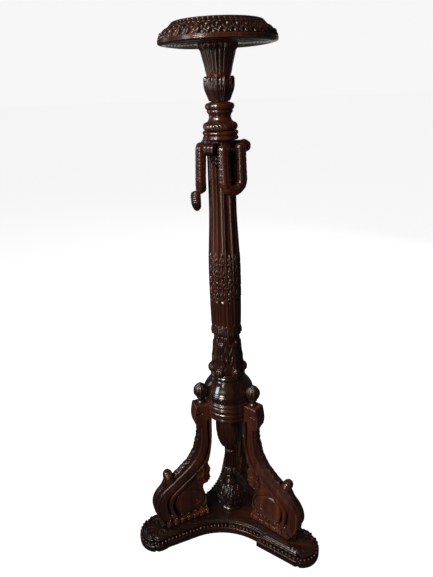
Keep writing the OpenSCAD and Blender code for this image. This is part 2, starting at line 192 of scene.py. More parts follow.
def lathe(profile, relief=None, around=240, step=1.6):
    """Closed turned body from a profile of (radius, z), low end first; relief(angle, r, z) moves it out."""
    p = soften(dense(profile, step))
    t = np.gradient(p, axis=0)
    t /= np.maximum(np.linalg.norm(t, axis=1, keepdims=True), 1e-9)
    A, R, Z = revolved(p, t, relief, around)
    R = np.maximum(R, 0.05)
    v = np.stack([R * np.cos(A), R * np.sin(A), Z], -1).reshape(-1, 3)
    v = np.vstack([v, [0, 0, Z[0].mean()], [0, 0, Z[-1].mean()]])
    return v, wall(len(p), around), caps(len(p), around)


def ring(profile, relief, around, step):
    """Turned ring from a closed profile of (radius, z), counterclockwise in the (r, z) plane."""
    p = dense(list(profile) + [profile[0]], step)[:-1]
    p = 0.5 * p + 0.25 * (np.roll(p, 1, 0) + np.roll(p, -1, 0))
    t = np.roll(p, -1, 0) - np.roll(p, 1, 0)
    t /= np.maximum(np.linalg.norm(t, axis=1, keepdims=True), 1e-9)
    A, R, Z = revolved(p, t, relief, around)
    v = np.stack([R * np.cos(A), R * np.sin(A), Z], -1).reshape(-1, 3)
    return v, wall(len(p), around, closed=True), np.zeros((0, 3), int)


def nets(field, low, cell):
    """Surface nets: a smooth closed mesh of where field changes sign. field < 0 is inside."""
    f = field.astype(np.float32)
    inside = f < 0
    nx, ny, nz = f.shape
    c = np.zeros((nx - 1, ny - 1, nz - 1), np.int8)
    for dx in (0, 1):
        for dy in (0, 1):
            for dz in (0, 1):
                c += inside[dx:nx - 1 + dx, dy:ny - 1 + dy, dz:nz - 1 + dz]
    ci = np.argwhere((c > 0) & (c < 8))
    total = np.zeros((len(ci), 3))
    hits = np.zeros(len(ci))
    for axis in range(3):
        others = [k for k in range(3) if k != axis]
        for a in (0, 1):
            for b in (0, 1):
                o = np.zeros(3, int)
                o[others[0]], o[others[1]] = a, b
                p0 = ci + o
                p1 = p0.copy()
                p1[:, axis] += 1
                f0 = f[p0[:, 0], p0[:, 1], p0[:, 2]]
                f1 = f[p1[:, 0], p1[:, 1], p1[:, 2]]
                m = (f0 < 0) != (f1 < 0)
                t = np.where(m, f0 / np.where(m, f0 - f1, 1), 0)
                pos = p0.astype(float)
                pos[:, axis] += t
                total += pos * m[:, None]
                hits += m
    verts = total / hits[:, None] * np.array(cell) + np.array(low)
    index = np.full(c.shape, -1, np.int64)
    index[ci[:, 0], ci[:, 1], ci[:, 2]] = np.arange(len(ci))
    quads = []
    for axis in range(3):
        o1, o2 = [(1, 2), (2, 0), (0, 1)][axis]
        s0 = [slice(1, -1)] * 3
        s0[axis] = slice(0, -1)
        s1 = list(s0)
        s1[axis] = slice(1, None)
        e0, e1 = inside[tuple(s0)], inside[tuple(s1)]
        for flip in (False, True):
            w = np.argwhere((e0 & ~e1) if not flip else (~e0 & e1))
            if not len(w):
                continue
            w = w + np.array([0 if k == axis else 1 for k in range(3)])
            corner = []
            for da, db in ((0, 0), (-1, 0), (-1, -1), (0, -1)):
                q = w.copy()
                q[:, o1] += da
                q[:, o2] += db
                corner.append(index[q[:, 0], q[:, 1], q[:, 2]])
            q = np.stack(corner, 1)
            quads.append(q[:, ::-1] if flip else q)
    return verts, np.vstack(quads), np.zeros((0, 3), int)


def polygon_field(poly, X, Y):
    """Signed distance to a closed polygon (negative inside) and the run along it of the nearest point."""
    poly = np.asarray(poly, float)
    nxt = np.roll(poly, -1, 0)
    run = np.concatenate([[0], np.cumsum(np.linalg.norm(nxt - poly, axis=1))])
    best = np.full(X.shape, 1e9)
    along = np.zeros(X.shape)
    odd = np.zeros(X.shape, bool)
    for k, (p, q) in enumerate(zip(poly, nxt)):
        d = q - p
        L = d @ d
        if L < 1e-12:
            continue
        t = np.clip(((X - p[0]) * d[0] + (Y - p[1]) * d[1]) / L, 0, 1)
        dist = np.hypot(X - p[0] - t * d[0], Y - p[1] - t * d[1])
        m = dist < best
        best = np.where(m, dist, best)
        along = np.where(m, run[k] + t * math.sqrt(L), along)
        if p[1] != q[1]:
            odd ^= ((p[1] > Y) != (q[1] > Y)) & (X < d[0] * (Y - p[1]) / d[1] + p[0])
    return np.where(odd, -best, best), along


def curve_field(pts, X, Y):
    """Unsigned distance to an open line, and the side of it (1 is left of its direction, -1 right)."""
    pts = np.asarray(pts, float)
    best = np.full(X.shape, 1e9)
    side = np.zeros(X.shape)
    for p, q in zip(pts[:-1], pts[1:]):
        d = q - p
        t = np.clip(((X - p[0]) * d[0] + (Y - p[1]) * d[1]) / math.hypot(*d) ** 2, 0, 1)
        ex, ey = X - p[0] - t * d[0], Y - p[1] - t * d[1]
        dist = np.hypot(ex, ey)
        m = dist < best
        best = np.where(m, dist, best)
        side = np.where(m, np.sign(d[0] * ey - d[1] * ex), side)
    return best, side


def smooth_line(pts, n=90):
    """Catmull-Rom line through the points."""
    p = np.asarray(pts, float)
    p = np.vstack([2 * p[0] - p[1], p, 2 * p[-1] - p[-2]])
    out = []
    for i in range(1, len(p) - 2):
        for t in np.linspace(0, 1, max(2, n // (len(p) - 3)), endpoint=False):
            a, b, c, d = p[i - 1:i + 3]
            out.append(0.5 * (2 * b + (c - a) * t + (2 * a - 5 * b + 4 * c - d) * t ** 2
                              + (3 * b - a - 3 * c + d) * t ** 3))
    return np.array(out + [p[-2]])


def leaf(u, v, lobes=4.0, rib=0.35):
    """Height of a carved leaf: u from -1 to 1 across, v from 0 at the root to 1 at the tip."""
    au = np.abs(u)
    w = 0.95 * np.sqrt(np.clip(1 - np.clip(v, 0, 1) ** 2.4, 0, 1))
    w = w * (0.85 + 0.15 * np.cos(2 * math.pi * lobes * v))
    body = ease(0.0, 0.16, w - au) * ease(-0.02, 0.05, v) * ease(-0.02, 0.03, 1 - v)
    ribs = 0.5 + 0.5 * np.cos(2 * math.pi * (lobes * v - 1.5 * au))
    rounding = 0.25 * (au / np.maximum(w, 0.05)).clip(0, 1) ** 2
    return body * (0.62 - rounding + rib * ribs * ease(0, 0.35, au) + 0.38 * hill(u, 0, 0.11))


def dome(x, y=0.0):
    """Height of a unit ball over x and y, zero beyond its edge."""
    return np.sqrt(np.clip(1 - x ** 2 - y ** 2, 0, 1))


def cell_u(A, n, phase=0.0):
    """Place across the nearest of n cells round the axis, -1 to 1. phase in degrees."""
    return 2 * saw((A - math.radians(phase)) * n / (2 * math.pi))


def on_arms(prefix, verts, quads, tris, angle, material, slot, **options):
    """The same piece on all three arms, turned by angle besides."""
    for arm, a in ARMS.items():
        name = prefix + arm
        mesh(name, turn(verts, a + angle), quads, tris, material, slot, [name], **options)


# ---------------------------------------------------------------- materials

def wood(name, dark, mid, warm, rough=0.3, coat=0.5, grain=(34, 34, 2.2), wear=0.35):
    m = bpy.data.materials.new(name)
    m.use_nodes = True
    nt = m.node_tree
    N, L = nt.nodes, nt.links
    N.clear()
    out = N.new("ShaderNodeOutputMaterial")
    b = N.new("ShaderNodeBsdfPrincipled")
    L.new(b.outputs["BSDF"], out.inputs["Surface"])
    tc = N.new("ShaderNodeTexCoord")

    def mapped(scale):
        mp = N.new("ShaderNodeMapping")
        mp.inputs["Scale"].default_value = scale
        L.new(tc.outputs["Object"], mp.inputs["Vector"])
        return mp

    def noise(scale, detail, rough_, size, distort=0.0):
        n = N.new("ShaderNodeTexNoise")
        n.inputs["Scale"].default_value = size
        n.inputs["Detail"].default_value = detail
        n.inputs["Roughness"].default_value = rough_
        n.inputs["Distortion"].default_value = distort
        L.new(mapped(scale).outputs["Vector"], n.inputs["Vector"])
        return n

    def ramp(src, stops):
        r = N.new("ShaderNodeValToRGB")
        e = r.color_ramp.elements
        while len(e) < len(stops):
            e.new(0.5)
        for k, (pos, col) in enumerate(stops):
            e[k].position = pos
            e[k].color = (*col, 1) if len(col) == 3 else col
        L.new(src, r.inputs["Fac"])
        return r

    def mix(kind, fac, a, c):
        x = N.new("ShaderNodeMix")
        x.data_type = "RGBA"
        x.blend_type = kind
        for sock, val in ((x.inputs["Factor"], fac), (x.inputs[6], a), (x.inputs[7], c)):
            if hasattr(val, "links"):
                L.new(val, sock)
            elif isinstance(val, (int, float)):
                sock.default_value = val
            else:
                sock.default_value = (*val, 1)
        return x.outputs[2]

    figure = noise(grain, 6, 0.62, 1.0, 0.8)
    streak = noise((grain[0] * 6, grain[1] * 6, grain[2] * 3), 4, 0.6, 1.0, 0.3)
    cloud = noise((5, 5, 3), 2, 0.5, 1.0)
    base = ramp(figure.outputs["Fac"], [(0.30, dark), (0.52, mid), (0.74, warm)])
    pores = ramp(streak.outputs["Fac"], [(0.38, (0.45, 0.45, 0.45)), (0.56, (1, 1, 1))])
    col = mix("MULTIPLY", 0.75, base.outputs["Color"], pores.outputs["Color"])
    tone = ramp(cloud.outputs["Fac"], [(0.3, (0.72, 0.68, 0.66)), (0.7, (1.16, 1.1, 1.05))])
    col = mix("MULTIPLY", 1.0, col, tone.outputs["Color"])
    att = N.new("ShaderNodeAttribute")
    att.attribute_name = "hollow_and_shade"
    # painted shade: high cavity values (hollows, grooves and extra painted shade) turn the colour nearly
    # black
    deep = ramp(att.outputs["Fac"], [(0.5, (0, 0, 0)), (0.82, (1, 1, 1))])
    edge = ramp(att.outputs["Fac"], [(0.16, (1, 1, 1)), (0.44, (0, 0, 0))])
    wearing = N.new("ShaderNodeMath")
    wearing.operation = "MULTIPLY"
    L.new(edge.outputs["Color"], wearing.inputs[0])
    wearing.inputs[1].default_value = wear
    col = mix("MIX", wearing.outputs[0], col, tuple(min(1, c * 1.5 + 0.02) for c in warm))
    # painted shade mixed into the colour
    col = mix("MIX", deep.outputs["Color"], col, tuple(c * 0.1 for c in dark))
    L.new(col, b.inputs["Base Color"])
    rr = N.new("ShaderNodeMapRange")
    rr.inputs["From Min"].default_value = 0.3
    rr.inputs["From Max"].default_value = 0.8
    rr.inputs["To Min"].default_value = rough
    rr.inputs["To Max"].default_value = rough + 0.16
    mixr = N.new("ShaderNodeMath")
    mixr.operation = "MULTIPLY_ADD"
    L.new(streak.outputs["Fac"], mixr.inputs[0])
    mixr.inputs[1].default_value = 0.3
    L.new(att.outputs["Fac"], mixr.inputs[2])
    sub = N.new("ShaderNodeMath")
    sub.operation = "SUBTRACT"
    L.new(mixr.outputs[0], sub.inputs[0])
    sub.inputs[1].default_value = 0.1
    L.new(sub.outputs[0], rr.inputs["Value"])
    L.new(rr.outputs["Result"], b.inputs["Roughness"])
    b.inputs["Coat Weight"].default_value = coat
    b.inputs["Coat Roughness"].default_value = 0.08
    b.inputs["Specular IOR Level"].default_value = 0.32
    bump = N.new("ShaderNodeBump")
    bump.inputs["Strength"].default_value = 0.18
    bump.inputs["Distance"].default_value = 0.0006
    L.new(streak.outputs["Fac"], bump.inputs["Height"])
    L.new(bump.outputs["Normal"], b.inputs["Normal"])
    return m


def metal(name):
    m = bpy.data.materials.new(name)
    m.use_nodes = True
    nt = m.node_tree
    b = nt.nodes["Principled BSDF"]
    tc = nt.nodes.new("ShaderNodeTexCoord")
    n = nt.nodes.new("ShaderNodeTexNoise")
    n.inputs["Scale"].default_value = 300
    n.inputs["Detail"].default_value = 4
    nt.links.new(tc.outputs["Object"], n.inputs["Vector"])
    r = nt.nodes.new("ShaderNodeValToRGB")
    r.color_ramp.elements[0].color = (0.30, 0.30, 0.31, 1)
    r.color_ramp.elements[1].color = (0.62, 0.61, 0.60, 1)
    nt.links.new(n.outputs["Fac"], r.inputs["Fac"])
    nt.links.new(r.outputs["Color"], b.inputs["Base Color"])
    r2 = nt.nodes.new("ShaderNodeMapRange")
    r2.inputs["To Min"].default_value = 0.25
    r2.inputs["To Max"].default_value = 0.55
    nt.links.new(n.outputs["Fac"], r2.inputs["Value"])
    nt.links.new(r2.outputs["Result"], b.inputs["Roughness"])
    b.inputs["Metallic"].default_value = 1.0
    return m


POLISHED = wood("mahogany_polished", (0.009, 0.0022, 0.0014), (0.036, 0.0086, 0.0042),
        (0.088, 0.026, 0.011), 0.22, 0.55)
WARM = wood("mahogany_warm", (0.015, 0.0036, 0.0021), (0.058, 0.0150, 0.0072), (0.135, 0.043, 0.019), 0.24,
        0.5)
CARVED = wood("mahogany_carved", (0.006, 0.0017, 0.0012), (0.022, 0.0060, 0.0034), (0.056, 0.018, 0.008),
        0.30, 0.35,
              (30, 30, 4), 0.4)
DEEP = wood("mahogany_deep_gloss", (0.004, 0.0012, 0.001), (0.014, 0.0038, 0.0024), (0.036, 0.011, 0.005),
        0.14, 0.9, wear=0.2)
FLAT = wood("mahogany_flat", (0.004, 0.0012, 0.0008), (0.015, 0.0042, 0.0020), (0.036, 0.011, 0.0045), 0.26,
        0.45, (4, 26, 26), 0.25)
PLAIN = wood("mahogany_plain", (0.006, 0.0017, 0.0012), (0.022, 0.0060, 0.0030), (0.050, 0.016, 0.0065),
        0.28, 0.4, (4, 26, 26), 0.0)
INNER = wood("hardwood_inner", (0.16, 0.085, 0.04), (0.30, 0.17, 0.085), (0.42, 0.26, 0.14), 0.6, 0.0,
        wear=0.0)
STEEL = metal("screw_steel")
P, D = "polished_mahogany", "dark_mahogany"


# ---------------------------------------------------------------- round top

def top():
    z0, z1 = node_z("top_tooth_rim")
    tooth_count, leaf_count = 60, 36

    def teeth(A, R, Z):
        v = (Z - z0) / (z1 - z0)
        row = ease(0.03, 0.12, v) * (1 - ease(0.66, 0.78, v)) * (R > 100.5 + 12 * (1 - v) - 2.5)
        return row * (2.9 * dome(cell_u(A, tooth_count) / 0.84) - 2.2)

    mesh("top_tooth_rim", *ring(
        [(98.4, z0), (112.2, z0), (113.4, z0 + 0.8), (105.6, z0 + 8.6), (105.4, z0 + 9.4), (104.2, z0 + 11),
         (102.4, z1 - 0.2), (98.4, z1)],
        teeth, around=720, step=1.0), CARVED, D, ["top_tooth_rim"], depth=1.0)
    f0, f1 = node_z("top_leaf_frieze")

    def frieze(A, R, Z):
        v = (Z - f0) / (f1 - f0)
        u = cell_u(A, leaf_count)
        w = cell_u(A, leaf_count, 5)
        big = leaf(u + 0.25 * np.sin(v * 5), 1.02 - v, 3)
        small = leaf(w * 1.5, v * 1.25, 2)
        curl = np.hypot(u * 0.9 - 0.1, (v - 0.42) * 1.7)
        eye = hill(curl, 0, 0.22) - 0.8 * hill(curl, 0.36, 0.12)
        band = (R > 110) * ease(0, 0.06, v) * (1 - ease(0.92, 1.0, v))
        return band * (6.4 * np.maximum(big, 0.75 * small) + 2.4 * eye - 4.4)

    mesh("top_leaf_frieze", *ring(
        [(98.4, f0), (134.5, f0), (134.8, f0 + 2), (133.5, f0 + 6), (129, f0 + 12), (122, f0 + 17),
         (115.4, f1 - 0.6), (98.4, f1)],
        frieze, around=900, step=1.1), CARVED, D, ["top_leaf_frieze"], depth=2.2)
    b0 = node_z("top_reeded_base")[0]
    # underside with fine grooves, then three reeds on the edge
    under = [(0.05, b0 + 2), (46, b0 + 2), (52, b0 + 1.6)]
    for r in np.arange(56, 122, 7.5):
        under += [(r, b0 + 0.8), (r + 1.5, b0 + 3.6), (r + 3.0, b0 + 0.8), (r + 5, b0 + 0.35)]
    under += [(122, b0 + 0.3), (128, b0 + 1), (132, b0 + 1.8), (135.4, b0 + 3.4)]
    for k in range(3):
        c = b0 + 3 + 1.6 + k * 2.9
        under += [(137.1, c - 0.9), (137.7, c), (137.1, c + 0.9), (136.1, c + 1.45)]
    under += [(135.5, f0 - 0.3), (97, f0 - 0.2), (97, f0 + 10), (0.05, f0 + 10)]

    def reeds(A, R, Z):
        return 0.35 * np.sin(A * 5 + R * 0.12) * ease(48, 60, R) * (Z < b0 + 2.5)

    mesh("top_reeded_base", *lathe(under, reeds, around=300, step=1.3), POLISHED, P, ["top_reeded_base"],
         depth=1.0)


# ---------------------------------------------------------------- neck

def neck():
    cup_foot, cup_lip, rope_z = 1355, 1408, 1299

    def trumpet(A, R, Z):
        above_cup = ease(1409, 1420, Z)
        u = cell_u(A, 20)
        rib = dome(u * 0.98) - 0.62
        tip = hill(u, 0, 0.42) * hill(Z, 1470, 5) * 2.2
        return above_cup * (2.9 * rib * (R / 36) + tip)

    mesh("trumpet_neck", *lathe(
        [(15, 1354.2), (21, 1354.2), (22, 1375), (25, 1396), (28, 1408), (30, 1418), (32.4, 1431),
         (35, 1441), (37.4, 1450), (40.6, 1463), (43.6, 1471), (45, 1475.8)], trumpet, around=360,
         step=1.5), WARM, P, ["trumpet_neck"], depth=1.2)

    def cup(A, R, Z):
        v = (Z - cup_foot) / (cup_lip - cup_foot)
        u = cell_u(A, 12)
        front = leaf(u, v * 0.98, 2.0, 0.16)
        back = leaf(cell_u(A, 12, 15), v, 2.0, 0.1)
        tip = 1.6 * hill(v, 0.98, 0.14) * hill(u, 0, 0.5)
        return (R > 22) * ease(-0.02, 0.08, v) * (3.6 * np.maximum(front, 0.55 * back) - 2.6 + tip)

    mesh("leaf_cup", *ring(
        [(21.8, cup_foot), (24.5, cup_foot), (26, 1359), (29, 1367), (32, 1374), (34.4, 1380), (36.2, 1388),
         (36.4, 1394), (35.4, 1402), (33.6, 1407), (30, 1407), (26, 1396), (22.6, 1376)], cup, around=300,
         step=1.3), CARVED, D, ["leaf_cup"], depth=1.4)

    def turning(A, R, Z):
        rope = 1.3 * np.abs(np.sin(13 * A + (Z - rope_z) * 0.16)) - 0.7
        cut = hill(Z, rope_z, 5.5) * (R > 36)
        return cut * rope * 1.5

    mesh("neck_turning", *lathe(
        [(12, 1290.2), (36, 1290.2), (39.5, 1291.5), (41.6, 1295), (42, 1299.5), (41, 1304), (38, 1307.5),
         (33.5, 1309), (30.5, 1311), (28, 1315), (26.6, 1320), (27, 1325), (29, 1329), (31.6, 1330.5),
         (31.8, 1335), (30.8, 1336.2), (31, 1337), (34.4, 1339), (35.6, 1344), (34.4, 1349), (31, 1351.5),
         (25.5, 1352.6), (24.5, 1353.8), (12, 1353.8)],
        turning, around=312, step=1.3), POLISHED, P, ["neck_turning"], depth=1.2)
    c0, c1 = node_z("collar")
    mesh("collar", *lathe(
        [(14, c0), (40.5, c0), (43.6, c0 + 1.5), (44.5, c0 + 4.5), (43.4, c0 + 7.4), (41.8, c0 + 8.4),
         (41.8, c0 + 12.6), (43.6, c0 + 13.8), (44.4, c0 + 16.6), (43.2, c0 + 19.6), (40.5, c1 - 0.3),
         (14, c1)], around=200, step=1.2), POLISHED, P, ["collar"], depth=1.2)


# ---------------------------------------------------------------- column

def shaft():
    lo, hi, husk_pitch = 757.0, 1268.0, 33.5

    def relief(A, R, Z):
        u = cell_u(A, FLUTES, COLUMN_TURN + 15)
        au = np.abs(u)
        bed = dome(au / 0.80)
        open_flute = ease(761, 766, Z) * (1 - ease(1238, 1246, Z))
        d = -0.115 * R * bed * open_flute
        # rounded cable in the lower flutes
        cable = ease(763, 767, Z) * (1 - ease(838, 846, Z))
        d += cable * 4.6 * dome(au / 0.52)
        # chain of husks in the flutes
        zone = ease(844, 850, Z) * (1 - ease(974, 986, Z))
        v = np.mod((Z - 845) / husk_pitch, 1.0)
        husk = leaf(u / 0.8, (v - 0.1) / 0.9, 2.0, 0.3)
        d += zone * (6.4 * husk + 4.2 * dome(u / 0.34, (v - 0.05) / 0.10))
        # raised fillet between flutes
        d += 0.5 * ease(0.84, 0.92, au)
        return d

    mesh("column_shaft", *lathe(
        [(17, lo), (42.4, lo), (43, 764), (43.6, 790), (43.9, 820), (44, 870), (44, 905), (43.4, 941),
         (41.9, 976), (40, 1010), (37.4, 1052), (35.9, 1090), (35.2, 1140), (35, 1200), (35, 1262),
         (35.5, hi), (17, hi)],
        relief, around=384, step=1.7), POLISHED, P, ["column_shaft"], depth=1.8)

    def tips(A, R, Z):
        v = (lo - Z) / 27
        u = cell_u(A, 18, COLUMN_TURN)
        w = cell_u(A, 18, COLUMN_TURN + 10)
        a = leaf(u, v, 1.4, 0.2)
        b = leaf(w, v * 1.12, 1.4, 0.2)
        return (R > 30) * ease(0.0, 0.1, v) * (4.2 * np.maximum(a, 0.75 * b) * (0.55 + 0.75 * v) - 1.9)

    mesh("shaft_leaf_ring", *lathe(
        [(18, 728.2), (36, 728.2), (39.5, 729.5), (42.6, 734), (43.2, 739), (42.6, 746), (42, 751),
         (41.8, 756.8), (18, 756.8)],
        tips, around=360, step=1.2), CARVED, D, ["shaft_leaf_ring"], depth=1.6)


# ---------------------------------------------------------------- swags, scrolls, husk

def tube(path, radial, around, relief):
    """Closed tube round a path, of radius relief(angle, run). radial gives the direction that counts as
    outward (angle 0) at each point."""
    p = np.asarray(path, float)
    t = np.gradient(p, axis=0)
    t /= np.linalg.norm(t, axis=1, keepdims=True)
    n = radial - (radial * t).sum(1, keepdims=True) * t
    n /= np.linalg.norm(n, axis=1, keepdims=True)
    b = np.cross(t, n)
    run = np.concatenate([[0], np.cumsum(np.linalg.norm(np.diff(p, axis=0), axis=1))])
    ang = np.arange(around) * 2 * math.pi / around
    A, S = np.meshgrid(ang, run)
    rad = relief(A, S)
    spoke = np.cos(A)[..., None] * n[:, None] + np.sin(A)[..., None] * b[:, None]
    v = p[:, None] + rad[..., None] * spoke
    v = np.vstack([v.reshape(-1, 3), p[0], p[-1]])
    return v, wall(len(p), around), caps(len(p), around)


def swags():
    half, low, high, dist = 25.0, 1152.0, 1262.0, 49.0
    lap_pitch, bead_pitch, husk_top = 15.0, 7.4, 1142
    bend = low + half
    pts = [(0, half, z) for z in np.arange(high, bend, -1.4)]
    pts += [(0, half * math.cos(a), bend - half * math.sin(a)) for a in np.linspace(0, math.pi, 60)]
    pts += [(0, -half, z) for z in np.arange(bend + 1.4, high + 0.1, 1.4)]
    p = np.array(pts, float)
    lean = math.tan(math.radians(3))
    p[:, 0] = dist + (high - p[:, 2]) * lean + 0.9 * np.abs(p[:, 1] / half) ** 2 - 0.9
    outward = p - np.array([0, 0, bend + 8])
    outward[:, 0] = 0
    L = np.linalg.norm(np.diff(p, axis=0), axis=1).sum()

    def relief(A, S):
        mid = np.abs(S / L - 0.5) * 2
        off = saw(A / (2 * math.pi))
        r = 13.4 + 0.6 * (1 - mid)
        # lapped leaves, a groove on each flank, and a bead row between two lines in front
        lap = np.mod(S / lap_pitch + np.abs(off) * 1.5, 1.0)
        r = r + 0.9 * (lap ** 0.7) - 0.5
        r = r - 1.8 * hill(np.abs(off), 0.25, 0.028)
        r = r + 0.8 * dome(off / 0.055, saw(S / bead_pitch) / 0.42) - 1.0 * hill(np.abs(off), 0.075, 0.02)
        # rounded ends
        return r * np.sqrt(np.clip(1 - (1 - np.clip((1 - mid) * L / 22.0, 0, 1)) ** 2, 0.002, 1))

    on_arms("swag_", *tube(p, outward, 60, relief), SWAG_TURN, POLISHED, P, depth=1.6)

    # husk that hangs below one swag
    def husk(A, R, Z):
        bands = 1 - ease(0.45, 0.6, (husk_top - Z) / 50)
        return (0.4 - 2.2 * bands * hill(np.abs(saw((husk_top - Z) / 6.0)), 0, 0.17)
                - 1.8 * (1 - bands) * hill(np.abs(cell_u(A, 7)), 1, 0.28))

    v, q, t = lathe([(0.5, 1091.5), (4.5, 1093), (9, 1098), (12.6, 1106), (14.7, 1116), (15.5, 1127),
                     (15, 1135), (12.6, 1140.5), (8, 1143.4), (0.5, 1144)], husk, 96, 1.2)
    v[:, 0] = np.maximum(v[:, 0], -11.0)
    v[:, 0] += 67
    mesh("husk_drop", turn(v, ARMS["left"] + SWAG_TURN), q, t, CARVED, D, ["husk_drop"], depth=1.2)


def collar_scrolls():
    cell = 1.15
    lo, hi = np.array([30, -17, 1206.0]), np.array([77, 17, 1269.5])
    n = ((hi - lo) / cell).astype(int) + 2
    X, Y, Z = np.meshgrid(*[lo[k] + np.arange(n[k]) * cell for k in range(3)], indexing="ij")
    cx, cz = 58.5, 1251.5
    inner_x = 34
    r = np.hypot(X - cx, Z - cz)
    ang = np.arctan2(Z - cz, X - cx)
    spiral = saw((ang / (2 * math.pi)) + r / 9.0)
    lobes = np.abs(np.sin(ang * 3.0))
    width = 13 - 0.9 * ease(4, 13, r) + 1.3 * hill(r, 0, 4)
    width = width - 2.4 * hill(spiral, 0, 0.12) * ease(2, 4, r)
    edge_r = 14.2 + 0.9 * lobes - 1.7 * hill(np.abs(Y), 4.6, 1.1) - 0.8 * hill(np.abs(Y), 9.2, 0.9)
    roll = np.maximum(r - edge_r, np.abs(Y) - width)
    # leaf that runs from the column up into the roll
    block = np.maximum(np.maximum(X - 57, inner_x - X), np.maximum(np.abs(Z - 1250) - 14.4, np.abs(Y) - 12.6))
    v = (1242 - Z) / 34.0
    tail_w = 12.5 * dome(np.clip(v, 0, 1)) * (0.9 + 0.1 * np.cos(v * 17))
    veins = 1.6 * hill(Y, 0, 1.4) - 1.5 * np.abs(np.sin(v * 9 - np.abs(Y) * 0.25))
    tail = np.maximum(np.maximum(np.abs(Y) - tail_w, X - (47 - 5.5 * v + veins)),
                      np.maximum(inner_x - X, np.maximum(1208 - Z, Z - 1250)))
    f = np.minimum(np.minimum(roll, block), tail)
    f = np.maximum(f, Z - 1267.8)
    on_arms("collar_scroll_", *nets(f, lo, (cell,) * 3), COLUMN_TURN + 60, CARVED, P, depth=1.6)


# ---------------------------------------------------------------- lower column

def lower_column():
    turn_ = COLUMN_TURN + 25

    def baluster(A, R, Z):
        u = cell_u(A, 6, turn_)
        w = cell_u(A, 6, turn_ + 30)
        big = leaf(u * 1.05, np.clip((706 - Z) / 118.0, 0, 1), 3.5, 0.45)
        low_ = leaf(w * 1.0, np.clip((728 - Z) / 86.0, 0, 1), 2.5, 0.45)
        d = 6.6 * np.maximum(big * (Z < 706), low_ * 0.8 * (Z < 728)) - 3.0
        # curled tips
        x = u * math.pi / 6 * 46
        z = Z - 604
        tip = np.sqrt(np.clip(1 - (x / 13.5) ** 2 - (np.where(z > 0, z / 19, z / 9.0)) ** 2, 0, 1))
        d = np.maximum(d, 0) + 11.5 * tip * (1 - 0.2 * hill(x, 0, 1.6)) + np.minimum(d, 0) * (tip <= 0)
        d -= 1.2 * hill(saw(x / 4.6), 0, 0.16) * (tip > 0.1) * (np.abs(x) > 2)
        return d * (R > 30) * ease(602.2, 603, Z) * (1 - ease(724, 727.9, Z))

    mesh("acanthus_baluster", *lathe(
        [(20, 602.2), (43.5, 602.2), (45.5, 605), (47, 611), (47, 619), (45.6, 627), (44, 634), (43.7, 651),
         (41.6, 662), (40.3, 672),
         (39, 693), (37.6, 713), (37.4, 727.8), (20, 727.8)], baluster, around=360, step=1.5), CARVED, P,
         ["acanthus_baluster"],
        depth=2.2)

    def bulb(A, R, Z):
        beads = np.clip(1 - (cell_u(A, 44) / 0.8) ** 2 - ((Z - 524) / 3.4) ** 2, 0, 1)
        rings = hill(np.abs(saw((Z - 531) / 5.4)), 0, 0.17) * ease(549, 545, Z) * (Z > 529)
        return (1.6 * np.sqrt(beads) - 1.4 * rings) * (R > 68)

    mesh("hub_bulb", *lathe(
        [(20, 516.2), (73, 516.2), (76.4, 517.6), (77, 520), (76, 522), (76, 526.5), (76.6, 529),
         (76.5, 535), (74, 542), (71, 547),
         (67, 553), (62, 560), (57, 568), (54, 574), (52, 578.5), (49.8, 580.6), (50, 582.4), (52.2, 584.5),
         (52.8, 588.5),
         (51.4, 592), (49, 594), (49.4, 596.4), (50.4, 599), (48, 601.8), (20, 601.8)], bulb, around=264,
         step=1.5), DEEP, P,
        ["hub_bulb"], depth=1.6)

    def rings(A, R, Z):
        return -0.9 * hill(np.abs(saw((Z - 450) / 5.6)), 0, 0.16) * (R > 68)

    mesh("hub_block", *lathe(
        [(20, 447.2), (69, 447.2), (72.5, 448.4), (74.6, 452), (74.2, 456), (72, 459), (71.5, 461),
         (74, 463.5), (76.4, 468), (76.4, 473),
         (74, 477.5), (72.5, 479.5), (75, 481.5), (78, 485.5), (78.9, 490), (78, 494.5), (75.5, 498),
         (74, 499.5), (76.5, 501.5),
         (78.4, 505), (78.4, 509), (76.5, 512.5), (74, 515.8), (20, 515.8)], rings, around=220, step=1.4),
         POLISHED, P,
        ["hub_block"], depth=1.8)

    def pendant(A, R, Z):
        u = cell_u(A, 6, 12)
        w = cell_u(A, 6, 42)
        a = leaf(u * 0.98, np.clip((432 - Z) / 142.0, 0, 1), 3.0, 0.16)
        b = leaf(w * 1.1, np.clip((424 - Z) / 112.0, 0, 1), 2.0, 0.12)
        return (4.4 * np.maximum(a, 0.66 * b) - 2.4) * (Z < 430) * (R > 12)

    mesh("pendant_drop", *lathe(
        [(8, 282), (13, 283), (18, 287), (22, 294), (27, 301), (32.6, 314), (36.5, 327), (39, 340),
         (41, 355), (42.5, 372), (42.6, 395),
         (41, 414), (40, 426), (42.5, 430), (44.4, 435), (42.4, 439.6), (41, 441), (41.4, 446.8),
         (14, 446.8)],
        pendant, around=260, step=1.6), CARVED, P, ["pendant_drop"], depth=2.0)

    def spindle(A, R, Z):
        ribs = np.sqrt(np.clip(1 - cell_u(A, 12) ** 2, 0, 1)) - 0.7
        v = (Z - 181) / 30.0
        leaves = leaf(cell_u(A, 8), 1.05 - v, 2.0, 0.3)
        beads = np.clip(1 - (cell_u(A, 12) / 0.82) ** 2 - ((Z - 281.5) / 3.8) ** 2, 0, 1)
        return (ease(214, 220, Z) * (1 - ease(268, 275,
                Z)) * 4.4 * ribs + (Z < 210) * (Z > 181) * (4.2 * leaves - 1.8)
                + 2.4 * np.sqrt(beads)) * (R > 9)

    mesh("centre_spindle", *lathe(
        [(8, 180.2), (22, 180.2), (25, 184), (26.4, 190), (25.6, 197), (22, 205), (17, 211), (16.4, 213.5),
         (18.4, 218), (18.2, 228),
         (17.6, 245), (16.4, 262), (14.8, 274), (14.4, 277.5), (16, 279), (16.8, 281.5), (16, 284),
         (14.6, 286.5), (12, 289.4),
         (8, 289.8)], spindle, around=240, step=1.3), CARVED, D, ["centre_spindle"], depth=1.5)

